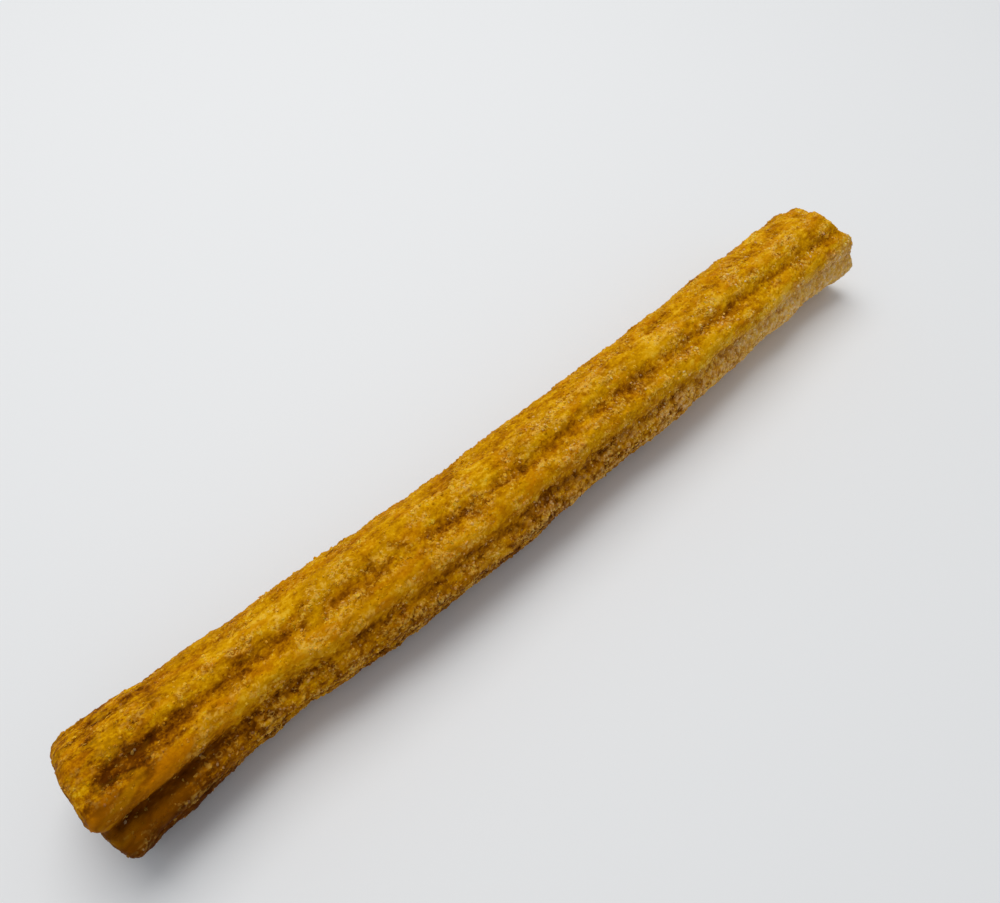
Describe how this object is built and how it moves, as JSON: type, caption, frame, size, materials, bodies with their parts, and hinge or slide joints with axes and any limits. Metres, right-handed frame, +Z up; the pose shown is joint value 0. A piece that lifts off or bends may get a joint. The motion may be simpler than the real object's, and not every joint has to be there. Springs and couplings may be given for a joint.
{
  "type": "churro",
  "caption": "Long ridged stick of fried dough in a coat of cinnamon sugar, lying on its underside, to be picked up, dipped and eaten.",
  "frame": {"origin": "middle of the bounding box, at the height of the surface that the churro rests on", "axes": "+X runs along the stick from the near end in the picture to the far end, +Z is up as it lies, and -Y is the side towards the camera"},
  "size_m": [0.254, 0.0322, 0.0299],
  "materials": {
    "crust": "golden brown fried dough crust with a dusting of cinnamon sugar, dry and rough"
  },
  "bodies": {
    "root": {"churro": "crust"}
  },
  "joints": []
}
